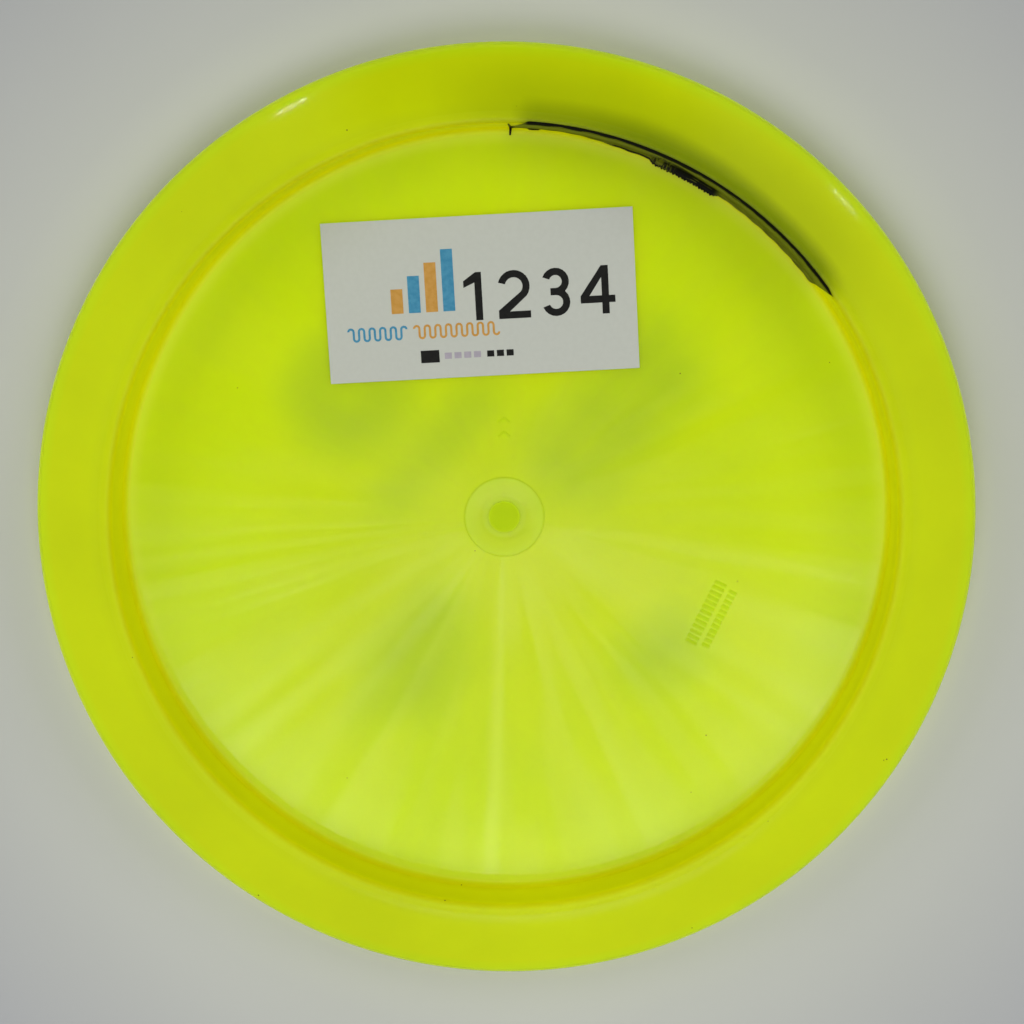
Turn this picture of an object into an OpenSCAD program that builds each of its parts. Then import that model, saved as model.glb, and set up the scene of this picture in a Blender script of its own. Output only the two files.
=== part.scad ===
// Disc-golf driver lying upside down: a wide-rimmed throwing disc, moulded in one piece, with
// stamp foil on its crown, marker ink on its inner wall and a printed label stuck in its cavity.
// Millimetres. +Z is up. The origin is on the disc's axis, on the crown that it lies on.

/* [Disc] */
// Outside diameter, at the nose
disc_d = 211; // [195:1:240]
// Width of the rim, from its inner wall to the nose
rim_w = 18; // [14:0.5:21]
// Depth of the rim below the edge of the flight plate
rim_depth = 12; // [10:0.5:16]

/* [Flight plate] */
// Thickness of the plate at its centre
plate_t = 1.8; // [1.4:0.1:3]
// Rise of the cavity's floor from its centre to its edge
floor_rise = 1.2; // [0.4:0.1:2.4]
// Radius of the crown's flat middle
crown_flat_r = 58; // [45:1:64]
// Radius of the gentle dome around that flat
dome_r = 560; // [300:10:1200]
// Radial distance from the start of the shoulder to the inner wall
shoulder_in = 3.5; // [1:0.5:8]

/* [Rim] */
// Height of the nose above the edge of the cavity's floor
nose_h = 6.3; // [5:0.1:8]
// Radius of the nose
nose_r = 2.4; // [1.6:0.1:3]
// Width of the flat land at the rim's bottom
land_w = 0.9; // [0.5:0.1:2]
// Slope of the rim's bottom where it leaves the land, in degrees
bottom_slope = 9; // [4:0.5:12]
// Radius of the fillet between the cavity's floor and the inner wall
fillet_r = 1.4; // [0.8:0.1:3]
// Radius of the rounded corner between the inner wall and the land
corner_r = 1.4; // [0.8:0.1:3]

/* [Gate] */
// Radius of the fine ring around the gate's well
well_r = 9.1; // [7:0.1:11]
// Depth of the dished well below the cavity's floor
well_depth = 0.35; // [0.2:0.05:0.6]
// Radius of the cut gate stub
stub_r = 3.6; // [2.5:0.1:5]
// Height of the stub's face above the cavity's floor
stub_proud = 0.1; // [0:0.05:0.6]

/* [Moulded marks] */
// Height of the moulded marks above the floor
mark_h = 0.15; // [0.1:0.05:0.4]
// Distance of the rows of ticks from the disc's axis
tick_row_r = 53; // [40:1:60]
// Direction of the rows from the disc's centre, in degrees
tick_row_turn = -25.5; // [-60:0.5:20]

/* [Stamp foil] */
// Thickness of the foil
foil_t = 0.03; // [0.02:0.01:0.05]
// How far the foil is pressed below the crown's face
foil_sink = 0.02; // [0.01:0.01:0.05]
// Distance kept between the stamp and the edge of the crown's flat
stamp_edge = 1; // [0.5:0.5:6]

/* [Marker band] */
// Thickness of the ink
ink_t = 0.08; // [0.03:0.01:0.1]
// Direction of the band's pointed end, in degrees
ink_from = 35; // [20:1:45]
// Direction of the band's blunt end, in degrees
ink_to = 89; // [60:1:120]

/* [Label] */
// Width of the label
label_w = 70; // [60:1:84]
// Height of the label
label_h = 36; // [30:1:44]
// Thickness of the label's paper
paper_t = 0.1; // [0.08:0.01:0.2]
// Thickness of the glue under the paper
glue_t = 0.03; // [0.02:0.01:0.06]
// How far the glue stays back from the paper's edge
glue_back = 0.3; // [0.1:0.1:1]
// Turn of the label on the floor, in degrees
label_turn = 3; // [-20:1:20]
// Sideways place of the label's middle, along its own width
label_shift = -2.6; // [-8:0.1:8]
// Distance from the label's outermost corner to the edge of the floor
label_gap = 8; // [2:0.5:16]
// Thickness of the print
print_t = 0.02; // [0.01:0.01:0.04]
// Height of the printed digits
digit_h = 10.8; // [8:0.1:12]
// Distance between the middles of neighbouring digits
digit_pitch = 9.4; // [8:0.1:10]
// Width of a digit's stroke
stroke_w = 1.6; // [1:0.1:2]

/* [Hidden] */

round_fn = 180;                       // steps of a full turn
eps = 0.01;                           // overlap of pieces of one solid
cut_over = 5;                         // how far a cutter stands past what it cuts

outer_r = disc_d / 2;
inner_r = outer_r - rim_w;            // inner wall
floor_edge_r = inner_r - fillet_r;    // where the floor turns up into the wall
floor_edge_z = plate_t + floor_rise;
land_z = floor_edge_z + rim_depth;    // the rim's bottom, which is the top as the disc lies
land_in_r = inner_r + corner_r;
land_out_r = land_in_r + land_w;
nose = [outer_r - nose_r, floor_edge_z + nose_h];
shoulder_start_r = inner_r - shoulder_in;

// Height of the cavity's floor at radius r
function floor_z(r) = plate_t + floor_rise * pow(r / floor_edge_r, 2);

// Points on an arc in n steps, about centre c, from angle a to angle b
function arc(c, r, a, b, n) =
    [for (i = [0:n]) c + r * [cos(a + (b - a) * i / n), sin(a + (b - a) * i / n)]];

// Radius of the arc that leaves point p with inward normal n and ends tangent to the nose
function blend_r(p, n) =
    let (d = p - nose) (nose_r * nose_r - d * d) / (2 * (d * n + nose_r));

function direction(v) = atan2(v[1], v[0]);
function reversed(list) = [for (i = [len(list) - 1:-1:0]) list[i]];

// Arc of the rim's bottom, from the land to the nose
bottom_p = [land_out_r, land_z];
bottom_n = [-sin(bottom_slope), -cos(bottom_slope)];
bottom_r = blend_r(bottom_p, bottom_n);
bottom_c = bottom_p + bottom_r * bottom_n;
bottom_end = direction(nose - bottom_c);

// Gentle dome of the crown, then the shoulder's arc up to the nose
dome_end = asin((shoulder_start_r - crown_flat_r) / dome_r);
dome_c = [crown_flat_r, dome_r];
shoulder_p = dome_c + dome_r * [sin(dome_end), -cos(dome_end)];
shoulder_n = [-sin(dome_end), cos(dome_end)];
shoulder_r = blend_r(shoulder_p, shoulder_n);
shoulder_c = shoulder_p + shoulder_r * shoulder_n;
shoulder_end = direction(nose - shoulder_c);

// Inner wall with the fillet below it and the rounded corner above it, moved into the cavity
// by skin. It runs from angle fillet_a of the fillet to angle corner_b of the corner.
function wall_line(skin, fillet_a, corner_b) = concat(
    arc([floor_edge_r, floor_edge_z + fillet_r], fillet_r - skin, fillet_a, 360, 6),
    arc([land_in_r, land_z - corner_r], corner_r + skin, 180, corner_b, 6));

// Fine ring, dished well and gate stub, from the axis outward
ring_w = 0.2;
ring_depth = 0.08;
well_foot_r = stub_r + 1;
well_z = plate_t - well_depth;
stub_z = plate_t + stub_proud;
stub_round = 0.2;
well_steps = 6;
well_top_r = well_r - ring_w / 2;
function well_slope(u) = well_z + (floor_z(well_top_r) - well_z) * (1 - cos(180 * u)) / 2;
gate_line = concat(
    [[0, stub_z]],
    arc([stub_r - stub_round, stub_z - stub_round], stub_round, 90, 0, 4),
    [[stub_r, well_z]],
    [for (i = [0:well_steps])
        let (u = i / well_steps)
        [well_foot_r + (well_top_r - well_foot_r) * u, well_slope(u)]],
    [[well_r, floor_z(well_r) - ring_depth]]);

floor_start_r = well_r + ring_w / 2;
floor_steps = 8;
floor_line = [for (i = [0:floor_steps - 1])
    let (r = floor_start_r + (floor_edge_r - floor_start_r) * i / floor_steps)
    [r, floor_z(r)]];

disc_outline = concat(
    gate_line,
    floor_line,
    wall_line(0, 270, 90),
    arc(bottom_c, bottom_r, 90 - bottom_slope, bottom_end, 8),
    arc(nose, nose_r, bottom_end, shoulder_end, 14),
    reversed(arc(shoulder_c, shoulder_r, dome_end - 90, shoulder_end, 12)),
    reversed(arc(dome_c, dome_r, -90, dome_end - 90, 3)),
    [[0, 0]]);

// Label: its outermost corner stays label_gap inside the edge of the floor
corner_limit = floor_edge_r - label_gap;
label_corner_x = abs(label_shift) + label_w / 2;
label_y = sqrt(corner_limit * corner_limit - label_corner_x * label_corner_x) - label_h / 2;
paper_z = glue_t;                     // heights above the floor
print_z = glue_t + paper_t;

// A small moulded mark halfway between the well and the label
mark_y = (well_r + label_y - label_h / 2) / 2;
chevron_w = 2.6;
chevron_h = 1.6;
chevron_stroke = 0.5;
chevron_gap = 3.2;

// Rows of plain ticks: [distance out from tick_row_r, height of a tick, count]
tick_rows = [[-1.8, 2.8, 13], [1.6, 1.8, 12]];
tick_pitch = 1.25;
tick_w = 0.75;
tick_row_lean = 64;                   // direction in which the rows run, in degrees

// Stamp: a ring, long stripes and short bars, placed in shares of the stamp's radius
stamp_r = crown_flat_r - stamp_edge;
stamp_lean = 48;
stripe_w = 0.075;
// [middle x, middle y, length] of each stripe
stripes = [
    [-0.28, 0.27, 0.72],
    [0.36, 0.53, 0.74], [0.46, 0.44, 0.86], [0.55, 0.34, 0.66],
    [-0.40, -0.45, 0.50], [-0.37, -0.59, 0.66], [-0.27, -0.68, 0.40]];
bars = [[0.60, -0.49, 0.38], [0.67, -0.61, 0.34]];
bar_lean = 32;
badge = [-0.62, 0.49];
badge_r = 0.23;
badge_hole_r = 0.14;
badge_dot_r = 0.08;

// Solid between two heights above the cavity's floor, out to the floor's edge
module floor_layer(low, high) {
    line = concat(floor_line, [[floor_edge_r, floor_edge_z]]);
    rotate_extrude($fn = round_fn)
        polygon(concat(
            [for (p = line) p + [0, low]],
            reversed([for (p = line) p + [0, high]])));
}

// A flat shape, in the label's own place and turn, as a film on the floor
module on_label(low, high) {
    intersection() {
        floor_layer(low, high);
        rotate([0, 0, label_turn])
            translate([label_shift, label_y, 0])
                linear_extrude(land_z)
                    children();
    }
}

// Ink on the paper
module printed() {
    on_label(print_z, print_z + print_t)
        scale([print_fit, print_fit])
            children();
}

module digit_1() {
    stem_x = 0.6;
    flag_x = -1.9;
    top = digit_h / 2;
    polygon([[stem_x, -top], [stem_x + stroke_w, -top], [stem_x + stroke_w, top],
        [stem_x + 0.3, top], [flag_x, top - 1.9], [flag_x, top - 3.4], [stem_x, top - 2.3]]);
}

module digit_2() {
    r = 2.8;
    tail_a = -38;
    half_w = r + stroke_w / 2;
    middle = [0, digit_h / 2 - half_w];
    foot_y = stroke_w - digit_h / 2;
    polygon(concat(
        arc(middle, half_w, 165, tail_a, 16),
        [[2.5 - half_w, foot_y], [half_w, foot_y], [half_w, -digit_h / 2],
            [-half_w, -digit_h / 2], [-half_w, foot_y + 0.3]],
        arc(middle, r - stroke_w / 2, tail_a, 165, 16)));
}

module digit_3() {
    top_r = 2.25;
    low_r = (digit_h - stroke_w) / 2 - top_r;
    top = [0, (digit_h - stroke_w) / 2 - top_r];
    low = [0, low_r - (digit_h - stroke_w) / 2];
    half = stroke_w / 2;
    middles = top_r + low_r;
    // The outsides of the two bowls meet this far below the upper one's middle
    notch = (pow(top_r + half, 2) - pow(low_r + half, 2) + middles * middles) / (2 * middles);
    waist_x = -1.2;
    waist_y = low[1] + low_r;
    polygon(concat(
        arc(top, top_r + half, 160, -asin(notch / (top_r + half)), 12),
        arc(low, low_r + half, asin((middles - notch) / (low_r + half)), -160, 12),
        arc(low, low_r - half, -160, 90, 12),
        [[waist_x, waist_y - half], [waist_x, waist_y + half]],
        arc(top, top_r - half, -90, 160, 12)));
}

module digit_4() {
    stem_x = 0.9;
    top = digit_h / 2;
    bar_y = 2.5 - top;
    bar_top = bar_y + stroke_w;
    difference() {
        polygon([[stem_x, -top], [stem_x + stroke_w, -top], [stem_x + stroke_w, bar_y],
            [digit_half_w, bar_y], [digit_half_w, bar_top], [stem_x + stroke_w, bar_top],
            [stem_x + stroke_w, top], [stem_x, top], [-digit_half_w, bar_top], [-digit_half_w, bar_y],
            [stem_x, bar_y]]);
        polygon([[stem_x, bar_top], [stem_x, top - 2.6], [2 - digit_half_w, bar_top]]);
    }
}

// One side of a wavy pen line that starts at x0, side 1 or -1
pen_w = 0.5;
bend_r = 0.6;
bend_y = 0.8;
function pen_side(x0, bends, side) =
    [for (i = [0:bends - 1])
        let (up = i % 2 == 0 ? 1 : -1)
        each arc([x0 + (2 * i + 1) * bend_r, up * bend_y],
            bend_r + side * up * pen_w / 2, 180, 180 - up * 180, 6)];

module scribble(x0, bends) {
    polygon(concat(pen_side(x0, bends, 1), reversed(pen_side(x0, bends, -1))));
}

// Short dashes in a row from x0
module dashes(x0, count) {
    dash = [1.6, 1.4];
    dash_pitch = 2.2;
    for (i = [0:count - 1])
        translate([x0 + dash_pitch * i, -dash[1] / 2])
            square(dash);
}

// Places of the print, from the label's middle; its rows hang below the digits' feet
post_w = 2.7;
post_pitch = 3.9;
post_rise = 2.8;
row_gap = 0.3;                        // from the digits' feet to the pen lines
scribble_y = -digit_h / 2 - row_gap - bend_y - bend_r - pen_w / 2;
post_y = scribble_y + 4.35;
dash_y = scribble_y - 5.65;
digit_1_x = -1.8;
post_x = digit_1_x - 18.4;
blue_x = digit_1_x - 28.5;
orange_x = digit_1_x - 13.6;
icon_size = [4.2, 2.8];
icon_x = digit_1_x - 12.4;
grey_x = digit_1_x - 7;
black_x = digit_1_x + 2.6;
digit_half_w = 3.9;                   // of the widest digit

// The print shrinks where it would come closer than this to the label's edge
print_margin = 3.5;
print_w = 2 * max(-blue_x, digit_1_x + 3 * digit_pitch + digit_half_w);
print_h = 2 * max(icon_size[1] / 2 - dash_y, post_y + post_w + 4 * post_rise, digit_h / 2);
print_fit = min(1, (label_w - 2 * print_margin) / print_w, (label_h - 2 * print_margin) / print_h);

// Upright posts of one colour, from a row of four that rises to the right
module posts(places) {
    for (i = places)
        translate([post_x + post_pitch * i, post_y])
            square([post_w, post_w + post_rise * (i + 1)]);
}

module stamp_shape() {
    for (s = stripes)
        translate(stamp_r * [s[0], s[1]])
            rotate(stamp_lean)
                square(stamp_r * [s[2], stripe_w], center = true);
    for (b = bars)
        translate(stamp_r * [b[0], b[1]])
            rotate(bar_lean)
                square(stamp_r * [b[2], stripe_w], center = true);
    translate(stamp_r * badge) {
        difference() {
            circle(stamp_r * badge_r, $fn = round_fn);
            circle(stamp_r * badge_hole_r, $fn = round_fn);
        }
        circle(stamp_r * badge_dot_r, $fn = round_fn);
    }
}

module raised_ticks() {
    base_z = plate_t;
    for (row = tick_rows)
        rotate([0, 0, tick_row_turn])
            translate([tick_row_r, 0, 0])
                rotate([0, 0, tick_row_lean - 90 - tick_row_turn])
                    for (i = [0:row[2] - 1])
                        translate([row[0] - row[1] / 2,
                            (i - (row[2] - 1) / 2) * tick_pitch - tick_w / 2, base_z])
                            cube([row[1], tick_w, floor_z(tick_row_r) + mark_h - base_z]);
}

module raised_chevrons() {
    for (side = [-1, 1])
        translate([0, mark_y + side * chevron_gap / 2, plate_t - mark_h])
            linear_extrude(floor_z(mark_y) - plate_t + 2 * mark_h)
                for (turn = [0, 1])
                    mirror([turn, 0, 0])
                        polygon([[-eps, chevron_h / 2], [chevron_w / 2, -chevron_h / 2],
                            [chevron_w / 2 - chevron_stroke, -chevron_h / 2],
                            [-eps, chevron_h / 2 - chevron_stroke]]);
}

module disc_moulding() {
    color([0.75, 0.83, 0.1])
        difference() {
            union() {
                rotate_extrude($fn = round_fn)
                    polygon(disc_outline);
                raised_ticks();
                raised_chevrons();
            }
            translate([0, 0, -cut_over])
                linear_extrude(cut_over + foil_sink + foil_t)
                    stamp_shape();
        }
}

module crown_foil() {
    color([0.12, 0.13, 0.14])
        translate([0, 0, foil_sink])
            linear_extrude(foil_t)
                stamp_shape();
}

module marker_ink() {
    fillet_a = 302;
    corner_b = 120;
    point_lean = 65;                  // lean of the cut that makes the pointed end, in degrees
    color([0.2, 0.22, 0.03])
        difference() {
            rotate([0, 0, ink_from])
                rotate_extrude(angle = ink_to - ink_from, $fn = round_fn)
                    polygon(concat(
                        wall_line(0, fillet_a, corner_b),
                        reversed(wall_line(ink_t, fillet_a, corner_b))));
            rotate([0, 0, ink_from])
                translate([inner_r - cut_over, 0, land_z])
                    rotate([point_lean, 0, 0])
                        translate([0, -2 * land_z, -2 * land_z])
                            cube([2 * cut_over, 2 * land_z, 4 * land_z]);
        }
}

module label_adhesive() {
    color([0.9, 0.89, 0.8])
        on_label(0, glue_t)
            square([label_w - 2 * glue_back, label_h - 2 * glue_back], center = true);
}

module label_paper() {
    color([0.93, 0.93, 0.92])
        on_label(paper_z, paper_z + paper_t)
            square([label_w, label_h], center = true);
}

module print_black() {
    color([0.08, 0.08, 0.08])
        printed() {
            translate([digit_1_x, 0])
                digit_1();
            translate([digit_1_x + digit_pitch, 0])
                digit_2();
            translate([digit_1_x + 2 * digit_pitch, 0])
                digit_3();
            translate([digit_1_x + 3 * digit_pitch, 0])
                digit_4();
            translate([icon_x, dash_y - icon_size[1] / 2])
                square(icon_size);
            translate([0, dash_y])
                dashes(black_x, 3);
        }
}

module print_blue() {
    color([0.25, 0.6, 0.75])
        printed() {
            posts([1, 3]);
            translate([0, scribble_y])
                scribble(blue_x, 11);
        }
}

module print_orange() {
    color([0.9, 0.62, 0.25])
        printed() {
            posts([0, 2]);
            translate([0, scribble_y])
                scribble(orange_x, 16);
        }
}

module print_grey() {
    color([0.72, 0.66, 0.72])
        printed()
            translate([0, dash_y])
                dashes(grey_x, 4);
}

disc_moulding();
crown_foil();
marker_ink();
label_adhesive();
label_paper();
print_black();
print_blue();
print_orange();
print_grey();
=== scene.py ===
import math
import random

import bmesh
import bpy
from mathutils import Matrix, Vector
from mathutils.kdtree import KDTree


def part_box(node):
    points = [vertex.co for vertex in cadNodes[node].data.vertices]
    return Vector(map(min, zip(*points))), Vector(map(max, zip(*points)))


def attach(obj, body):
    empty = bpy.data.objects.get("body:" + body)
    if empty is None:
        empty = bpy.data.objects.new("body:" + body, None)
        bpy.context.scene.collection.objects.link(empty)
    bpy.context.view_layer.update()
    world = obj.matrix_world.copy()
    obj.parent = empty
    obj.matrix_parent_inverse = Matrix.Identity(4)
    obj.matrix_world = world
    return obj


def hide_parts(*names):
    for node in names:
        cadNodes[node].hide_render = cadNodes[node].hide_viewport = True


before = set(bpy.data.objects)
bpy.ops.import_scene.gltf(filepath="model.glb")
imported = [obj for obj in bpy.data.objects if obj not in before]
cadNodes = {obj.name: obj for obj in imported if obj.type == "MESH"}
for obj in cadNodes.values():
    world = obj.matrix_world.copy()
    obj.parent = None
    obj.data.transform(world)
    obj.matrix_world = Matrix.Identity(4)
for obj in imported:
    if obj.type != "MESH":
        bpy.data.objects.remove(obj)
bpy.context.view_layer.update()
mm = 0.001
random.seed(7)
sharpAngle = math.radians(35)


def newObject(name, mesh, materials):
    piece = bpy.data.objects.new(name, mesh)
    bpy.context.scene.collection.objects.link(piece)
    for material in materials:
        mesh.materials.append(material)
    return piece


def smoothed(mesh):
    mesh.shade_smooth()
    mesh.set_sharp_from_angle(angle=sharpAngle)
    return mesh


def meshFrom(bm, name):
    mesh = bpy.data.meshes.new(name)
    bm.to_mesh(mesh)
    bm.free()
    return smoothed(mesh)


def arcPoints(centre, radius, start, end, steps):
    points = []
    for i in range(steps + 1):
        a = math.radians(start + (end - start) * i / steps)
        points.append((centre[0] + radius * math.cos(a), centre[1] + radius * math.sin(a)))
    return points


def smoothStep(low, high, value):
    t = min(max((value - low) / (high - low), 0), 1)
    return t * t * (3 - 2 * t)


class Shader:
    def __init__(self, owner):
        self.material = owner
        self.material.use_nodes = True
        self.tree = self.material.node_tree
        self.principled = self.tree.nodes.get("Principled BSDF")
        self.place = self.tree.nodes.new("ShaderNodeTexCoord").outputs["Object"]

    def put(self, socket, value):
        if isinstance(value, bpy.types.NodeSocket):
            self.tree.links.new(value, socket)
        else:
            socket.default_value = value

    def math(self, operation, a, b=0.0, c=0.0, clamp=False):
        node = self.tree.nodes.new("ShaderNodeMath")
        node.operation = operation
        node.use_clamp = clamp
        for socket, value in zip(node.inputs, (a, b, c)):
            self.put(socket, value)
        return node.outputs[0]

    def vector(self, operation, a, b=(0, 0, 0)):
        node = self.tree.nodes.new("ShaderNodeVectorMath")
        node.operation = operation
        self.put(node.inputs[0], a)
        if operation == "SCALE":
            self.put(node.inputs["Scale"], b)
        elif operation != "LENGTH":
            self.put(node.inputs[1], b)
        return node.outputs["Value" if operation == "LENGTH" else "Vector"]

    def between(self, value, low, high, outLow=0.0, outHigh=1.0):
        node = self.tree.nodes.new("ShaderNodeMapRange")
        node.interpolation_type = "SMOOTHSTEP"
        names = ("Value", "From Min", "From Max", "To Min", "To Max")
        for name, v in zip(names, (value, low, high, outLow, outHigh)):
            self.put(node.inputs[name], v)
        return node.outputs["Result"]

    def stretch(self, value, rise, fall):
        # 1 between the two, fading out over each pair of values
        return self.math("MULTIPLY", self.between(value, *rise), self.between(value, *fall, 1, 0))

    def mix(self, factor, a, b, blend="MIX"):
        node = self.tree.nodes.new("ShaderNodeMix")
        node.data_type = "RGBA"
        node.blend_type = blend
        self.put(node.inputs["Factor"], factor)
        for name, v in (("A", a), ("B", b)):
            socket = next(s for s in node.inputs if s.name == name and s.type == "RGBA")
            self.put(socket, v if isinstance(v, bpy.types.NodeSocket) else (*v, 1))
        return next(s for s in node.outputs if s.type == "RGBA")

    def noise(self, where, scale, detail=3.0, roughness=0.5):
        node = self.tree.nodes.new("ShaderNodeTexNoise")
        self.put(node.inputs["Vector"], where)
        node.inputs["Scale"].default_value = scale
        node.inputs["Detail"].default_value = detail
        node.inputs["Roughness"].default_value = roughness
        return node.outputs["Fac"]

    def specks(self, scale, size, least):
        node = self.tree.nodes.new("ShaderNodeTexVoronoi")
        self.put(node.inputs["Vector"], self.place)
        node.inputs["Scale"].default_value = scale
        split = self.tree.nodes.new("ShaderNodeSeparateColor")
        self.put(split.inputs[0], node.outputs["Color"])
        wide = self.math("MULTIPLY", split.outputs[1], size)
        near = self.math("LESS_THAN", node.outputs["Distance"], wide)
        return self.math("MULTIPLY", near, self.math("GREATER_THAN", split.outputs[0], least))

    def ramp(self, factor, stops, interpolation="LINEAR"):
        node = self.tree.nodes.new("ShaderNodeValToRGB")
        node.color_ramp.interpolation = interpolation
        self.put(node.inputs["Fac"], factor)
        elements = node.color_ramp.elements
        while len(elements) < len(stops):
            elements.new(0.5)
        for element, (place, colour) in zip(elements, stops):
            element.position = place
            element.color = (*colour, 1)
        return node.outputs["Color"]

    def attribute(self, name):
        node = self.tree.nodes.new("ShaderNodeAttribute")
        node.attribute_name = name
        return node.outputs["Fac"]

    def bump(self, height, distance, strength=1.0, normal=None):
        node = self.tree.nodes.new("ShaderNodeBump")
        node.inputs["Strength"].default_value = strength
        node.inputs["Distance"].default_value = distance
        self.put(node.inputs["Height"], height)
        if normal is not None:
            self.put(node.inputs["Normal"], normal)
        return node.outputs["Normal"]

    def masked(self, bumped, share):
        # Fades a bump by its normal, because fading its height would make a slope
        smooth = self.tree.nodes.new("ShaderNodeNewGeometry").outputs["Normal"]
        turned = self.vector("SCALE", self.vector("SUBTRACT", bumped, smooth), share)
        return self.vector("NORMALIZE", self.vector("ADD", smooth, turned))

    def axes(self):
        node = self.tree.nodes.new("ShaderNodeSeparateXYZ")
        self.put(node.inputs[0], self.place)
        return node.outputs

    def point(self, x=0.0, y=0.0, z=0.0):
        node = self.tree.nodes.new("ShaderNodeCombineXYZ")
        for socket, value in zip(node.inputs, (x, y, z)):
            self.put(socket, value)
        return node.outputs[0]


def newFinish(name):
    return Shader(bpy.data.materials.new(name))


viewSettings = {
    "lens": 67.0,            # on a 36 mm sensor
    "distance": 434.9 * mm,  # from the middle of the floor's edge circle
    "tilt": 8.01,            # degrees, about a level axis
    "tiltAxis": -12.6,       # direction of that axis, degrees from +X
    "offset": (-1.80 * mm, -1.28 * mm),
    "floorEdgeZ": 3.0 * mm,
}


def makeCamera():
    s = viewSettings
    phi = math.radians(s["tiltAxis"])
    turn = Matrix.Rotation(math.radians(s["tilt"]), 4, Vector((math.cos(phi), math.sin(phi), 0)))
    back = turn.inverted()
    place = back @ Vector((-s["offset"][0], -s["offset"][1], s["distance"]))
    lens = bpy.data.cameras.new("camera")
    lens.lens = s["lens"]
    lens.sensor_width = 36
    lens.clip_start = 0.01
    camera = bpy.data.objects.new("camera", lens)
    bpy.context.scene.collection.objects.link(camera)
    camera.matrix_world = Matrix.Translation(place + Vector((0, 0, s["floorEdgeZ"]))) @ back
    bpy.context.scene.camera = camera


studioSettings = {
    "roomColour": (0.94, 0.97, 1.0),
    "roomStrength": 0.29,
    "dimColour": (0.20, 0.21, 0.22),
    "dimDirection": (90, 56),        # a dim part of the room, direction and height in degrees
    "dimSpread": (12, 21),           # degrees from its middle
    "frontPlace": (-0.005, -0.315, 0.60),
    "frontGap": 2 * mm,
    "frontLayers": (                 # width, length and power, as it is brightest in its middle
        (0.478, 0.45, 0.85),
        (0.56, 0.51, 0.41),
        (0.64, 0.57, 0.43),
    ),
    "sideSize": (0.9, 0.36),
    "sideDistance": 0.95,
    "sideHeight": 36,                # degrees above the floor
    "sideDirections": (152, 28),     # degrees from +X
    "sidePower": 2.2,
    "bulbDirections": (123.5, 38),
    "bulbHeight": 44.5,
    "bulbStep": 1.7,                 # degrees between the three bulbs of a row
    "bulbSize": (0.006, 0.014),
    "bulbDistance": 0.85,
    "bulbPower": 0.009,
    "floorHalf": 3.0,
    "floorRoughness": 0.7,
    "floorMottle": (0.985, 1.015),
    "floorReach": 0.2,               # metres from the middle to the last of the floor's painted light
    "floorPaintedLight": (                  # painted light: the floor is lit yellow beside the disc and darker further out
        (0.525, (0.78, 0.79, 0.59)),
        (0.560, (0.67, 0.68, 0.575)),
        (0.620, (0.60, 0.61, 0.54)),
        (0.900, (0.455, 0.462, 0.470)),
    ),
}


def addPanel(name, place, aim, shape, size, power):
    light = bpy.data.lights.new(name, "AREA")
    light.shape = shape
    light.size, light.size_y = size
    light.energy = power
    lamp = bpy.data.objects.new(name, light)
    bpy.context.scene.collection.objects.link(lamp)
    lamp.location = place
    lamp.rotation_euler = (Vector(aim) - Vector(place)).to_track_quat("-Z", "Y").to_euler()
    return lamp


def placeAround(direction, height, distance):
    a, h = math.radians(direction), math.radians(height)
    return distance * Vector((math.cos(a) * math.cos(h), math.sin(a) * math.cos(h), math.sin(h)))


def makeRoom():
    s = studioSettings
    world = bpy.data.worlds.new("studio")
    bpy.context.scene.world = world
    m = Shader(world)
    ray = m.tree.nodes.new("ShaderNodeTexCoord").outputs["Generated"]
    dot = m.tree.nodes.new("ShaderNodeVectorMath")
    dot.operation = "DOT_PRODUCT"
    m.put(dot.inputs[0], ray)
    m.put(dot.inputs[1], placeAround(*s["dimDirection"], 1))
    near, far = (math.cos(math.radians(a)) for a in s["dimSpread"])
    colour = m.mix(m.between(dot.outputs["Value"], far, near), s["roomColour"], s["dimColour"])
    background = m.tree.nodes["Background"]
    m.put(background.inputs["Color"], colour)
    background.inputs["Strength"].default_value = s["roomStrength"]


def makeStudio():
    print("studio")
    s = studioSettings
    makeRoom()
    below = (s["frontPlace"][0], s["frontPlace"][1], 0)
    for i, (width, length, power) in enumerate(s["frontLayers"]):
        place = Vector(s["frontPlace"]) + Vector((0, 0, s["frontGap"] * i))
        addPanel("frontPanel", place, below, "ELLIPSE", (width, length), power)
    for direction in s["sideDirections"]:
        place = placeAround(direction, s["sideHeight"], s["sideDistance"])
        side = addPanel("sidePanel", place, (0, 0, 0), "RECTANGLE", s["sideSize"], s["sidePower"])
        side.visible_glossy = False     # so soft that the rim shows no edge of them
    for direction in s["bulbDirections"]:
        for step in (-1, 0, 1):
            bulb = placeAround(direction + s["bulbStep"] * step, s["bulbHeight"], s["bulbDistance"])
            addPanel("bulb", bulb, (0, 0, 0), "ELLIPSE", s["bulbSize"], s["bulbPower"])
    bm = bmesh.new()
    bmesh.ops.create_grid(bm, x_segments=1, y_segments=1, size=s["floorHalf"])
    m = newFinish("paleFloor")
    away = m.vector("LENGTH", m.place)
    # painted light on the floor, brightest and yellow beside the disc
    colour = m.ramp(m.math("DIVIDE", away, s["floorReach"]), s["floorPaintedLight"])
    colour = m.vector("SCALE", colour, m.between(m.noise(m.place, 9, 4), 0.3, 0.7, *s["floorMottle"]))
    m.put(m.principled.inputs["Base Color"], colour)
    m.principled.inputs["Roughness"].default_value = s["floorRoughness"]
    floor = newObject("floor", meshFrom(bm, "floor"), [m.material])
    bpy.context.scene.view_settings.view_transform = "Standard"


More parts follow.
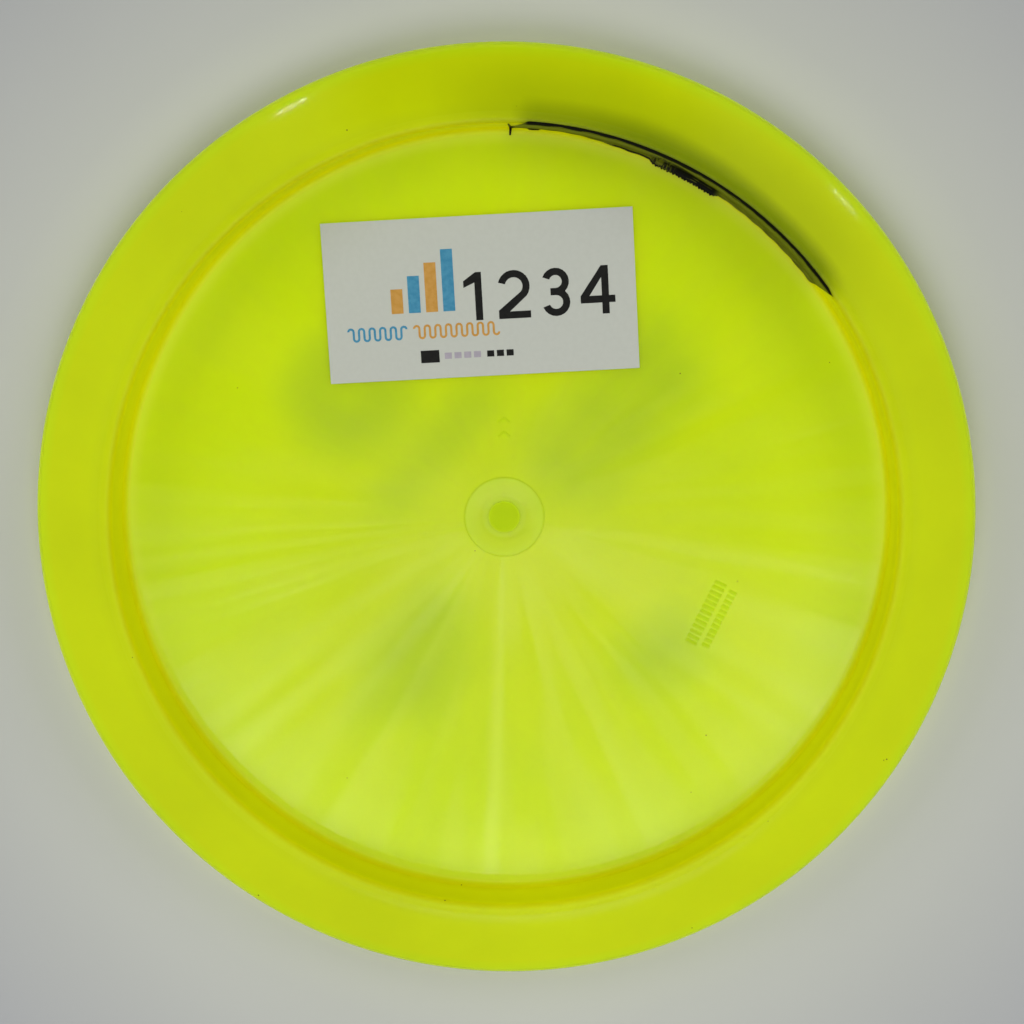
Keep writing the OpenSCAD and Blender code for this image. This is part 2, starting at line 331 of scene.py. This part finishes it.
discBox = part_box("disc_moulding")
discSize = {
    "outerR": (discBox[1].x - discBox[0].x) / 2,
    "landZ": discBox[1].z,
    "rimWidth": 18 * mm,
    "plateThick": 1.8 * mm,
    "floorRise": 1.2 * mm,
    "crownFlatR": 58 * mm,
    "domeR": 560 * mm,
    "shoulderIn": 3.5 * mm,
    "noseHeight": 6.3 * mm,
    "noseR": 2.4 * mm,
    "landWidth": 0.9 * mm,
    "bottomSlope": 9,
    "filletR": 1.4 * mm,
    "cornerR": 1.4 * mm,
    "wellR": 9.1 * mm,
    "wellDepth": 0.35 * mm,
    "wellFootGap": 1 * mm,   # flat beside the stub
    "wellSteps": 14,
    "wellFoot": 0.25,        # share of the dish in which it lifts off its flat
    "wellBend": 2.2,
    "ringWidth": 0.2 * mm,
    "ringDepth": 0.08 * mm,
    "stubR": 3.6 * mm,
    "stubProud": 0.1 * mm,
    "stubRound": 0.2 * mm,
    "stubLines": (1.2 * mm, 2.4 * mm),
    "floorStep": 1.6 * mm,
    "crownStep": 2.4 * mm,
    "support": 0.1 * mm,     # lines that hold the shading beside a curve
    "turnSteps": 288,
}
d = discSize
innerR = d["outerR"] - d["rimWidth"]
floorEdgeR = innerR - d["filletR"]
floorEdgeZ = d["plateThick"] + d["floorRise"]
landInR = innerR + d["cornerR"]
landOutR = landInR + d["landWidth"]
landOutZ = d["landZ"] - d["landWidth"] * math.tan(math.radians(0.9 * d["bottomSlope"]))   # it leans a little
nose = (d["outerR"] - d["noseR"], floorEdgeZ + d["noseHeight"])


def floorZ(r):
    return d["plateThick"] + d["floorRise"] * (r / floorEdgeR) ** 2


def blendArc(point, normal):
    dx, dz = point[0] - nose[0], point[1] - nose[1]
    along = dx * normal[0] + dz * normal[1]
    radius = (d["noseR"] ** 2 - dx * dx - dz * dz) / (2 * (along + d["noseR"]))
    centre = (point[0] + radius * normal[0], point[1] + radius * normal[1])
    end = math.degrees(math.atan2(nose[1] - centre[1], nose[0] - centre[0]))
    return centre, radius, end


def discOutline():
    stubZ = d["plateThick"] + d["stubProud"]
    wellZ = d["plateThick"] - d["wellDepth"]
    wellFoot, wellTop = d["stubR"] + d["wellFootGap"], d["wellR"] - d["ringWidth"] / 2
    line = [(r, stubZ) for r in (0, *d["stubLines"])]
    line += arcPoints((d["stubR"] - d["stubRound"], stubZ - d["stubRound"]), d["stubRound"], 90, 0, 4)
    line += [(d["stubR"] + 0.02 * mm, wellZ)]
    for i in range(d["wellSteps"] + 1):
        u = i / d["wellSteps"]
        rise = smoothStep(0, d["wellFoot"], u) * (1 - (1 - u) ** d["wellBend"])
        line.append((wellFoot + (wellTop - wellFoot) * u, wellZ + (floorZ(wellTop) - wellZ) * rise))
    line.append((d["wellR"], floorZ(d["wellR"]) - d["ringDepth"]))
    start = d["wellR"] + d["ringWidth"] / 2
    for _ in range(2):
        line.append((start, floorZ(start)))
        start += d["support"]
    end = floorEdgeR - d["support"]
    steps = round((end - start) / d["floorStep"])
    for i in range(steps + 1):
        r = start + (end - start) * i / steps
        line.append((r, floorZ(r)))
    line += arcPoints((floorEdgeR, floorEdgeZ + d["filletR"]), d["filletR"], 272, 360, 10)
    low, high = floorEdgeZ + d["filletR"], d["landZ"] - d["cornerR"]
    line += [(innerR, low + (high - low) * i / 5) for i in range(1, 5)]
    line += arcPoints((landInR, high), d["cornerR"], 180, 90, 10)
    slope = math.radians(d["bottomSlope"])
    bottom = blendArc((landOutR, landOutZ), (-math.sin(slope), -math.cos(slope)))
    line += arcPoints(bottom[0], bottom[1], 90 - d["bottomSlope"], bottom[2], 14)
    domeEnd = math.asin((innerR - d["shoulderIn"] - d["crownFlatR"]) / d["domeR"])
    dome = (d["crownFlatR"], d["domeR"])
    shoulder = (dome[0] + d["domeR"] * math.sin(domeEnd), dome[1] - d["domeR"] * math.cos(domeEnd))
    shoulderArc = blendArc(shoulder, (-math.sin(domeEnd), math.cos(domeEnd)))
    line += arcPoints(nose, d["noseR"], bottom[2], shoulderArc[2], 22)[1:]
    back = math.degrees(domeEnd) - 90
    line += arcPoints(shoulderArc[0], shoulderArc[1], shoulderArc[2], back, 20)[1:]
    line += arcPoints(dome, d["domeR"], back, -90, 10)[1:]
    steps = round(d["crownFlatR"] / d["crownStep"])
    line += [(d["crownFlatR"] * (1 - i / steps), 0) for i in range(1, steps + 1)]
    return line


def spinOutline(line, steps):
    bm = bmesh.new()
    verts = [bm.verts.new((r, 0, z)) for r, z in line]
    edges = [bm.edges.new(pair) for pair in zip(verts, verts[1:])]
    bmesh.ops.spin(bm, geom=verts + edges, axis=(0, 0, 1), cent=(0, 0, 0),
                   steps=steps, angle=2 * math.pi, use_merge=True)
    bmesh.ops.remove_doubles(bm, verts=bm.verts, dist=0.002 * mm)
    bmesh.ops.recalc_face_normals(bm, faces=bm.faces)
    return bm


def foilCutter():
    bm = bmesh.new()
    bm.from_mesh(cadNodes["crown_foil"].data)
    bmesh.ops.remove_doubles(bm, verts=bm.verts, dist=0.001 * mm)
    bmesh.ops.dissolve_limit(bm, angle_limit=math.radians(1), verts=bm.verts, edges=bm.edges)
    low = min(v.co.z for v in bm.verts)
    for v in bm.verts:
        if v.co.z < low + 0.01 * mm:
            v.co.z = -1 * mm
    return meshFrom(bm, "foilCutter")


# small raised marks on the cavity's floor

markSettings = {
    "height": 0.15 * mm,
    "tickRowR": 53 * mm,
    "tickRowTurn": -25.5,
    "tickLean": 64,
    "tickPitch": 1.25 * mm,
    "tickWidth": 0.75 * mm,
    "tickRows": ((-1.8 * mm, 2.8 * mm, 13), (1.6 * mm, 1.8 * mm, 12)),   # offset, length, count
    "chevronY": 20.6 * mm,
    "chevronGap": 3.2 * mm,
    "chevronSize": (2.6 * mm, 1.6 * mm),
    "chevronStroke": 0.5 * mm,
    "edge": 0.05 * mm,
}


def addBlock(bm, size, turn, place):
    low = floorZ(place.length) - 0.1 * mm
    high = floorZ(place.length) + markSettings["height"]
    made = bmesh.ops.create_cube(bm, size=1)["verts"]
    bmesh.ops.scale(bm, vec=(*size, high - low), verts=made)
    top = [e for e in bm.edges if e.verts[0] in made and all(v.co.z > 0 for v in e.verts)]
    bevelled = bmesh.ops.bevel(bm, geom=top, offset=markSettings["edge"], segments=2,
                               profile=0.5, affect="EDGES", material=-1)["verts"]
    verts = list({v for v in made if v.is_valid} | set(bevelled))
    bmesh.ops.rotate(bm, cent=(0, 0, 0), matrix=Matrix.Rotation(turn, 3, "Z"), verts=verts)
    bmesh.ops.translate(bm, vec=(place.x, place.y, (low + high) / 2), verts=verts)


def markBlocks(side):
    s = markSettings
    bm = bmesh.new()
    if side == 0:
        middle = Vector((s["tickRowR"], 0)) @ Matrix.Rotation(math.radians(-s["tickRowTurn"]), 2)
        lean = math.radians(s["tickLean"])
        along = Vector((math.cos(lean), math.sin(lean)))
        out = Vector((along.y, -along.x))
        for offset, length, count in s["tickRows"]:
            for i in range(count):
                place = middle + out * offset + along * (i - (count - 1) / 2) * s["tickPitch"]
                addBlock(bm, (length, s["tickWidth"]), lean - math.radians(90), place)
    else:
        width, height = s["chevronSize"]
        lean = math.atan2(height - s["chevronStroke"], width / 2)
        for row in (-1, 1):
            place = Vector((side * width / 4, s["chevronY"] + row * s["chevronGap"] / 2))
            addBlock(bm, (width / 2 / math.cos(lean), s["chevronStroke"]), -side * lean, place)
    bmesh.ops.recalc_face_normals(bm, faces=bm.faces)
    return meshFrom(bm, "markBlocks")


def combined(mesh, tools):
    body = newObject("discBody", mesh, [])
    cutters = []
    for operation, tool in tools:
        cutter = newObject("cutter", tool, [])
        cut = body.modifiers.new(operation, "BOOLEAN")
        cut.operation, cut.solver, cut.object = operation, "EXACT", cutter
        cutters.append(cutter)
    bpy.context.view_layer.update()
    done = bpy.data.meshes.new_from_object(body.evaluated_get(bpy.context.evaluated_depsgraph_get()))
    for piece in [body, *cutters]:
        bpy.data.objects.remove(piece)
    bm = bmesh.new()                            # the joins also leave slivers
    bm.from_mesh(done)
    bmesh.ops.remove_doubles(bm, verts=bm.verts, dist=0.003 * mm)
    bmesh.ops.dissolve_degenerate(bm, edges=bm.edges, dist=0.003 * mm)
    bm.to_mesh(done)
    bm.free()
    done.name = "discBody"
    if "custom_normal" in done.attributes:      # the joins leave wrong ones beside the marks
        done.attributes.remove(done.attributes["custom_normal"])
    return done


def samplePoints(node, pitch, keep):
    points = []
    mesh = cadNodes[node].data
    mesh.calc_loop_triangles()
    for triangle in mesh.loop_triangles:
        if not keep(triangle.normal):
            continue
        a, b, c = (mesh.vertices[i].co for i in triangle.vertices)
        count = triangle.area / (pitch * pitch)
        count = int(count) + (random.random() < count - int(count))
        for _ in range(count):
            u, v = random.random(), random.random()
            if u + v > 1:
                u, v = 1 - u, 1 - v
            points.append(a + (b - a) * u + (c - a) * v)
    return points


def shadeAttribute(mesh, name, points, pitch, blur, keep):
    tree = KDTree(len(points))
    for i, p in enumerate(points):
        tree.insert((p.x, p.y, 0), i)
    tree.balance()
    attribute = mesh.attributes.new(name, "FLOAT", "POINT")
    full = math.pi * blur * blur / 2 / (pitch * pitch)
    for v in mesh.vertices:
        value = 0.0
        if keep(v):
            for _, _, away in tree.find_range((v.co.x, v.co.y, 0), blur):
                value += 1 - (away / blur) ** 2
        attribute.data[v.index].value = min(value / full, 1)


plasticLook = {
    "floor": (0.665, 0.905, 0.002),
    "stub": (0.52, 0.74, 0.003),
    "well": (0.64, 0.90, 0.040),
    "wellRing": (0.56, 0.78, 0.002),
    "mark": (0.58, 0.80, 0.001),
    "wall": (0.665, 0.67, 0.000),
    "corner": (0.63, 0.70, 0.006),
    "land": (0.66, 0.76, 0.004),
    "rim": (0.715, 0.825, 0.001),
    "nose": (0.64, 0.87, 0.006),
    # painted shade of the crown's foil, seen through the plate
    "foilShade": (0.40, 0.56, 0.020),
    # painted shade of the wall's ink, seen through the rim
    "inkShade": (0.23, 0.31, 0.001),
    "speck": (0.10, 0.11, 0.004),
    "specks": (              # cells in a metre, radius and least draw of a cell, least crowding
        (150, 0.040, 0.90, 0),
        (300, 0.055, 0.93, 0),
        (430, 0.075, 0.93, 0.595),
    ),
    "mottle": (0.94, 1.02),
    "foilPitch": 0.8 * mm,   # of the points that shade the plate above the foil
    "foilBlur": 8.5 * mm,
    "paintedCavityLight": (            # painted light, as emission, standing in for light led inside the plate: even over the cavity's floor, stronger at its edge and up the wall
        (-2.6 * mm, (0.062, 0.075, 0.0)),
        (-1.4 * mm, (0.095, 0.095, 0.008)),
        (-0.4 * mm, (0.120, 0.110, 0.016)),
        (0.1 * mm, (0.150, 0.155, 0.012)),
        (0.5 * mm, (0.152, 0.168, 0.0)),
        (1.2 * mm, (0.165, 0.160, 0.0)),
        (1.45 * mm, (0.155, 0.155, 0.0)),
        (1.7 * mm, (0.00, 0.00, 0.0)),
    ),
    "wallFade": 0.50,        # of that light, at the wall's top
    "floorRoughness": 0.21,
    "rimRoughness": 0.12,
    "wallRoughness": 0.45,
    "markRoughness": 0.55,
    "specular": 0.11,
    "coat": 0.41,            # share of the moulded skin that is glossy
    "wallCoat": 0.03,
    "wellCoat": 0.30,
    "coatRoughness": 0.045,
    "flowGloss": (           # direction in degrees and gloss, where the melt ran out from the gate
        (180, 0.40), (183, 1.00), (184.5, 0.25), (188, 1.10), (189.5, 0.20), (192, 1.00), (194, 0.25),
        (200, 0.70), (205, 0.45), (211, 0.62), (217, 0.35), (223, 0.60), (228, 0.30), (233, 0.50),
        (238, 0.24), (242, 0.48), (245, 0.20), (254, 0.08), (262, 0.12), (265.5, 0.24), (267, 0.85),
        (268.7, 0.85), (270.2, 0.22), (281, 0.10), (286, 0.48), (289, 0.20), (297, 0.52), (300, 0.20),
        (314, 0.14), (326, 0.50), (345, 0.62), (360, 0.40),
    ),
    "outerGloss": (58 * mm, 84 * mm, 0, 0.36),        # from and to which radius, and how much
    "gateGloss": (14 * mm, 34 * mm, 0.25, -0.08),
    "cloudy": 0.14,
    "mostGloss": 1.5,
    "streaks": 0.26,         # more of them, finer and shorter
    "streakLines": 15,
    "streakLength": 36 * mm,
    "patchy": (-0.02, 0.03),
    "glow": 0.9,             # share of the light that travels inside
    "glowDepth": 5 * mm,
    "fanHeight": 0.010,      # of the soft fan of flow lines, as a slope
    "fanLines": 1.1,
    "fineHeight": 0.004,
    "fineLines": 6,
    "fanFrom": (12 * mm, 40 * mm),
    "skinHeight": 0.01 * mm,
    "rimSkin": 0.3,          # share of it on the rim
}


def plasticColour(m, share, raised):
    look = plasticLook
    rim = d["outerR"]
    edge, land = floorEdgeR / rim, landInR / rim
    line = 0.5 * mm / rim
    colour = m.ramp(share, [
        ((d["stubR"] - 0.2 * mm) / rim, look["stub"]), ((d["stubR"] + 0.2 * mm) / rim, look["well"]),
        ((d["wellR"] - 0.15 * mm) / rim, look["well"]), (d["wellR"] / rim, look["wellRing"]),
        ((d["wellR"] + 0.15 * mm) / rim, look["floor"]),
        (edge - line, look["floor"]), (edge + 2 * line, look["wall"]),
        (land - 2 * line, look["wall"]), (land - line, look["corner"]), (land, look["land"]),
        (land + 8 * line, look["rim"]),
        (0.965, look["rim"]), (0.995, look["nose"])])
    colour = m.vector("SCALE", colour, m.between(m.noise(m.place, 22, 4), 0.3, 0.7, *look["mottle"]))
    colour = m.mix(raised, colour, look["mark"])
    # painted shade of the crown's foil, seen through the plate
    colour = m.mix(m.attribute("foilShade"), colour, look["foilShade"])
    # painted shade of the wall's ink, seen through the rim
    colour = m.mix(m.attribute("inkShade"), colour, look["inkShade"])
    crowd = m.noise(m.place, 26, 1)
    for scale, size, least, crowding in look["specks"]:
        here = m.math("GREATER_THAN", crowd, crowding)
        colour = m.mix(m.math("MULTIPLY", m.specks(scale, size, least), here), colour, look["speck"])
    return colour


def plasticPaintedLight(m, share, z):
    look = plasticLook
    # painted light: emission over the cavity's floor, stronger at its edge and up the wall
    glow = m.ramp(share, [((floorEdgeR + away) / d["outerR"], tint) for away, tint in look["paintedCavityLight"]])
    inCavity = m.between(z, 1.2 * mm, 1.5 * mm)
    wallFoot, wallTop = floorEdgeZ + 0.5 * d["filletR"], d["landZ"] - d["cornerR"]
    upWall = m.between(z, wallFoot, wallTop, 1, look["wallFade"])
    return m.vector("SCALE", glow, m.math("MULTIPLY", inCavity, upWall))


def plasticRoughness(m, onFloor, offWall, plain):
    look = plasticLook
    rim = look["rimRoughness"]
    patchy = m.between(m.noise(m.place, 40, 5), 0.3, 0.7, *look["patchy"])
    rough = m.math("MULTIPLY_ADD", onFloor, look["floorRoughness"] - rim, rim)
    rough = m.math("ADD", rough, patchy)
    rough = m.math("ADD", rough, m.between(offWall, 0, 1, look["wallRoughness"] - rim, 0))
    return m.math("ADD", rough, m.math("MULTIPLY", plain, look["markRoughness"] - look["floorRoughness"]))


def plasticGloss(m, radius, around, turn, onFloor, offWall, plain):
    look = plasticLook
    flow = [((a - 180) / 360, (value, value, value)) for a, value in look["flowGloss"]]
    gloss = m.ramp(turn, flow, "EASE")
    gloss = m.math("ADD", gloss, m.between(radius, *look["outerGloss"]))
    gloss = m.math("ADD", gloss, m.between(radius, *look["gateGloss"]))
    cloudy = look["cloudy"]
    gloss = m.math("ADD", gloss, m.between(m.noise(m.place, 38, 3), 0.3, 0.7, -cloudy, cloudy))
    along = m.point(z=m.math("DIVIDE", radius, look["streakLength"]))
    lines = m.noise(m.vector("ADD", m.vector("SCALE", around, look["streakLines"]), along), 1, 2)
    streaks = look["streaks"]
    gloss = m.math("ADD", gloss, m.between(lines, 0.26, 0.74, -streaks, streaks))
    gloss = m.math("MINIMUM", m.math("MAXIMUM", gloss, 0), look["mostGloss"])
    gloss = m.math("MULTIPLY_ADD", m.math("SUBTRACT", gloss, 1), onFloor, 1)
    gloss = m.math("MULTIPLY", gloss, m.math("SUBTRACT", 1, plain))
    gloss = m.math("MULTIPLY", gloss, m.between(offWall, 0, 1, look["wallCoat"], 1))
    wellIn, wellOut = d["wellR"] - 1 * mm, d["wellR"] + 1 * mm
    return m.math("MULTIPLY", gloss, m.between(radius, wellIn, wellOut, look["wellCoat"], 1))


def plasticSurface(m, radius, around, onFloor, offWall):
    look = plasticLook
    fan = m.math("SUBTRACT", m.noise(m.vector("SCALE", around, look["fanLines"]), 1, 1), 0.5)
    fine = m.math("SUBTRACT", m.noise(m.vector("SCALE", around, look["fineLines"]), 1, 2), 0.5)
    spread = m.math("MULTIPLY", m.between(radius, *look["fanFrom"]), radius)
    bumped = m.bump(m.math("MULTIPLY", fan, spread), look["fanHeight"])
    bumped = m.bump(m.math("MULTIPLY", fine, spread), look["fineHeight"], normal=bumped)
    bumped = m.masked(bumped, onFloor)
    skin = m.math("MULTIPLY", m.noise(m.place, 500, 2), m.between(onFloor, 0, 1, look["rimSkin"], 1))
    return m.masked(m.bump(skin, look["skinHeight"], normal=bumped), offWall)


def plasticMaterial():
    look = plasticLook
    m = newFinish("discPlastic")
    x, y, z = m.axes()
    flat = m.point(x, y)
    radius = m.vector("LENGTH", flat)
    around = m.vector("NORMALIZE", flat)
    share = m.math("DIVIDE", radius, d["outerR"])
    turn = m.math("DIVIDE", m.math("ADD", m.math("ARCTAN2", y, x), math.pi), 2 * math.pi)

    # the raised marks are what stands above the floor's curve
    bowl = m.math("POWER", m.math("DIVIDE", radius, floorEdgeR), 2)
    rise = m.math("MULTIPLY_ADD", bowl, d["floorRise"], d["plateThick"])
    raised = m.between(m.math("SUBTRACT", z, rise), 0.05 * mm, 0.09 * mm)
    raised = m.math("MULTIPLY", raised, m.between(radius, 1.1 * d["wellR"], 1.2 * d["wellR"]))
    raised = m.math("MULTIPLY", raised, m.between(radius, floorEdgeR - 5 * mm, floorEdgeR - 3 * mm, 1, 0))
    plain = m.math("MAXIMUM", raised, m.math("LESS_THAN", radius, d["stubR"]))
    onFloor = m.between(radius, floorEdgeR - 0.5 * mm, floorEdgeR + 0.5 * mm, 1, 0)
    offWall = m.math("MAXIMUM", onFloor, m.between(radius, landOutR, landOutR + 1 * mm))

    gloss = plasticGloss(m, radius, around, turn, onFloor, offWall, plain)
    normal = plasticSurface(m, radius, around, onFloor, offWall)
    driven = {
        "Base Color": plasticColour(m, share, raised),
        # painted light, given as emission
        "Emission Color": plasticPaintedLight(m, share, z),
        "Roughness": plasticRoughness(m, onFloor, offWall, plain),
        "Coat Weight": m.math("MULTIPLY", gloss, look["coat"]),
        "Normal": normal,
        "Coat Normal": normal,
    }
    for name, socket in driven.items():
        m.put(m.principled.inputs[name], socket)
    m.principled.inputs["Emission Strength"].default_value = 1
    m.principled.inputs["Coat Roughness"].default_value = look["coatRoughness"]
    m.principled.inputs["IOR"].default_value = 1.5
    m.principled.inputs["Specular IOR Level"].default_value = look["specular"]
    m.principled.inputs["Subsurface Weight"].default_value = look["glow"]
    m.principled.inputs["Subsurface Scale"].default_value = look["glowDepth"]
    m.principled.inputs["Subsurface Radius"].default_value = (1, 1, 0.2)
    return m.material


def inkShadeAt(turn, away):
    # Painted shade of the wall's ink on the rim: dark close to the line, and faint a long way out
    first, last = inkSpan
    ends = smoothStep(first - 3, first + 5, turn) * smoothStep(last + 2, last - 4, turn)
    reach = (7 + 3 * smoothStep(38, 72, turn)) * mm
    strength = 0.95 - 0.25 * smoothStep(66, 86, turn)
    close = strength * ends * (1 - smoothStep(0.15 * reach, reach, away))
    wideEnds = smoothStep(first - 14, first + 16, turn) * smoothStep(last + 16, last - 4, turn)
    wide = 0.3 * wideEnds * (1 - smoothStep(5 * mm, 19 * mm, away))
    return max(close, wide)


def onCavityFloor(vertex):
    return vertex.co.z > 1.2 * mm and vertex.co.xy.length < innerR


def makeDisc(plastic):
    print("disc")
    tools = [("UNION", markBlocks(side)) for side in (-1, 0, 1)] + [("DIFFERENCE", foilCutter())]
    mesh = combined(meshFrom(spinOutline(discOutline(), d["turnSteps"]), "discBody"), tools)
    body = newObject("discBody", smoothed(mesh), [plastic])
    # painted shade of the crown's foil, seen through the plate
    pitch = plasticLook["foilPitch"]
    foil = samplePoints("crown_foil", pitch, lambda n: n.z > 0.9)
    shadeAttribute(mesh, "foilShade", foil, pitch, plasticLook["foilBlur"], onCavityFloor)
    # painted shade of the wall's ink, seen through the rim
    shade = mesh.attributes.new("inkShade", "FLOAT", "POINT")
    for v in mesh.vertices:
        away = v.co.xy.length - innerR
        if v.co.z > nose[1] and away > 0.2 * mm:
            turn = math.degrees(math.atan2(v.co.y, v.co.x))
            shade.data[v.index].value = inkShadeAt(turn, away)
    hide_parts("disc_moulding")
    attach(body, "root")


# marker ink on the inner wall

inkLook = {
    "film": 0.08 * mm,
    "span": (34.9, 89.1),    # directions of the two ends, in degrees
    "turnSteps": 420,
    "acrossSteps": 18,
    "hook": 88.75,           # where the short hook at the far end begins
    "foot": 0.9 * mm,        # how far strokes may reach on to the floor
    "ink": (0.100, 0.112, 0.006),
    "thinInk": (0.17, 0.19, 0.012),
    "black": (0.006, 0.006, 0.003),
    "roughness": 0.42,
}
inkSpan = inkLook["span"]


def wallPoint(share):
    # On the ink's face: 0 at the floor's edge, 1/3 and 2/3 at the wall's ends, 1 on the land
    film = inkLook["film"]
    low, high = floorEdgeZ + d["filletR"], d["landZ"] - d["cornerR"]
    if share < 0:
        return floorEdgeR + share * 3 * inkLook["foot"], floorEdgeZ + film
    if share < 1 / 3:
        a = math.radians(270 + 270 * share)
        reach = d["filletR"] - film
        return floorEdgeR + reach * math.cos(a), low + reach * math.sin(a)
    if share < 2 / 3:
        return innerR - film, low + (high - low) * (3 * share - 1)
    a = math.radians(180 - 270 * (share - 2 / 3))
    reach = d["cornerR"] + film
    return landInR + reach * math.cos(a), high + reach * math.sin(a)


def inkLow(turn):
    # The lower edge: ragged under the close strokes, a dip at the blot, pointed at the near end
    if turn > inkLook["hook"]:
        return -0.12
    low = 0.10 + 0.15 * smoothStep(71, 82, turn) + 0.01 * math.sin(turn * 2.1)
    ragged = 0.20 + 0.03 * math.sin(turn * 7) + 0.05 * math.sin(turn * 13)
    low -= ragged * smoothStep(56.4, 57.6, turn) * smoothStep(68.2, 66.8, turn)
    low -= 0.07 * smoothStep(84.4, 84.9, turn) * smoothStep(86.6, 86.1, turn)
    return low + (0.83 - low) * smoothStep(38.6, 34.9, turn) ** 1.5


def inkHigh(turn):
    if turn > inkLook["hook"]:
        return 0.74
    return 0.89 - 0.42 * smoothStep(86.0, 88.7, turn) - 0.05 * smoothStep(36.4, 34.9, turn)


def inkMaterial():
    look = inkLook
    m = newFinish("markerInkFilm")
    turn, share = m.attribute("inkTurn"), m.attribute("inkShare")
    below, above = m.attribute("inkBelow"), m.attribute("inkAbove")
    stroke = m.point(m.math("MULTIPLY", turn, 0.45), m.math("MULTIPLY", share, 14))
    grain = m.noise(stroke, 1, 3)
    colour = m.mix(m.between(grain, 0.35, 0.7), look["ink"], look["thinInk"])

    # the firm line along the top
    lineWidth = m.between(m.noise(m.vector("SCALE", stroke, 0.8), 1, 2), 0.3, 0.7, 0.09, 0.17)
    topLine = m.math("LESS_THAN", above, lineWidth)
    topLine = m.math("MULTIPLY", topLine, m.between(turn, 86.2, 86.8, 1, 0))

    # the patch of close strokes, open at its far end
    scribble = m.stretch(turn, (56, 57.5), (67, 68.4))
    scribble = m.math("MULTIPLY", scribble, m.math("LESS_THAN", share, m.between(turn, 60, 64, 0.38, 0.62)))
    scribble = m.math("MULTIPLY", scribble, m.between(grain, 0.34, 0.40))
    comb = m.point(m.math("MULTIPLY", turn, 3.2), m.math("MULTIPLY", share, 2))
    strokes = m.between(m.noise(comb, 1, 1), 0.44, 0.50)
    scribble = m.math("MULTIPLY", scribble, m.math("MAXIMUM", strokes, m.between(turn, 63.5, 65.5, 1, 0)))

    # a thin line at its foot, a blot, and the two dark ends
    foot = m.math("MULTIPLY", m.math("LESS_THAN", below, 0.07), m.stretch(turn, (66, 67), (73.4, 74.0)))
    blot = m.math("MULTIPLY", m.stretch(turn, (84.4, 84.8), (86.1, 86.5)), m.math("LESS_THAN", share, 0.26))
    ends = m.math("ADD", m.between(turn, 88.2, 88.6), m.between(turn, 35.0, 35.6, 1, 0))
    dark = m.math("MAXIMUM", m.math("MAXIMUM", topLine, scribble), m.math("MAXIMUM", foot, ends))
    dark = m.math("MAXIMUM", dark, blot)
    m.put(m.principled.inputs["Base Color"], m.mix(dark, colour, look["black"]))
    spread = (look["roughness"] - 0.08, look["roughness"] + 0.1)
    m.put(m.principled.inputs["Roughness"], m.between(grain, 0.2, 0.8, *spread))
    m.put(m.principled.inputs["Normal"], m.bump(grain, 0.02 * mm, 0.5))
    m.principled.inputs["Specular IOR Level"].default_value = 0.05
    return m.material


def makeMarker():
    print("marker ink")
    look = inkLook
    first, last = look["span"]
    bm = bmesh.new()
    bmesh.ops.create_grid(bm, x_segments=look["turnSteps"], y_segments=look["acrossSteps"], size=0.5)
    layers = [bm.verts.layers.float.new(name) for name in ("inkTurn", "inkShare", "inkBelow", "inkAbove")]
    for v in bm.verts:
        turn = first + (last - first) * (v.co.x + 0.5)
        low, high = inkLow(turn), inkHigh(turn)
        share = low + (high - low) * (v.co.y + 0.5)
        r, z = wallPoint(share)
        a = math.radians(turn)
        v.co = (r * math.cos(a), r * math.sin(a), z)
        for layer, value in zip(layers, (turn, share, share - low, high - share)):
            v[layer] = value
    bmesh.ops.remove_doubles(bm, verts=bm.verts, dist=0.01 * mm)
    bmesh.ops.recalc_face_normals(bm, faces=bm.faces)
    if sum(f.normal.xy.dot(f.calc_center_median().xy) for f in bm.faces) > 0:
        bmesh.ops.reverse_faces(bm, faces=bm.faces)
    bmesh.ops.solidify(bm, geom=bm.faces, thickness=look["film"] * 0.9)
    piece = newObject("markerInk", meshFrom(bm, "markerInk"), [inkMaterial()])
    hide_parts("marker_ink")
    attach(piece, "root")


def plainMaterial(name, low, high, roughness, scale=900):
    m = newFinish(name)
    grain = m.noise(m.place, scale, 4)
    m.put(m.principled.inputs["Base Color"], m.mix(m.between(grain, 0.3, 0.7), low, high))
    m.put(m.principled.inputs["Roughness"], m.between(grain, 0.2, 0.8, roughness - 0.06, roughness + 0.06))
    m.put(m.principled.inputs["Normal"], m.bump(grain, 0.02 * mm, 0.4))
    m.principled.inputs["Specular IOR Level"].default_value = 0.2
    return m.material


layerLooks = {
    "crown_foil": ((0.030, 0.034, 0.036), (0.060, 0.066, 0.070), 0.3),
    "label_adhesive": ((0.55, 0.55, 0.42), (0.60, 0.60, 0.46), 0.4),
    "label_paper": ((0.602, 0.618, 0.540), (0.617, 0.633, 0.555), 0.75),
    "print_black": ((0.006, 0.006, 0.005), (0.012, 0.012, 0.010), 0.6),
    "print_blue": ((0.05, 0.26, 0.42), (0.08, 0.32, 0.48), 0.5),
    "print_orange": ((0.60, 0.30, 0.05), (0.66, 0.35, 0.08), 0.5),
    "print_grey": ((0.42, 0.38, 0.43), (0.48, 0.43, 0.48), 0.5),
}

makeCamera()
makeStudio()
makeDisc(plasticMaterial())
makeMarker()
for node, look in layerLooks.items():
    material = plainMaterial(node + "Finish", *look)
    cadNodes[node].data.materials.clear()
    cadNodes[node].data.materials.append(material)
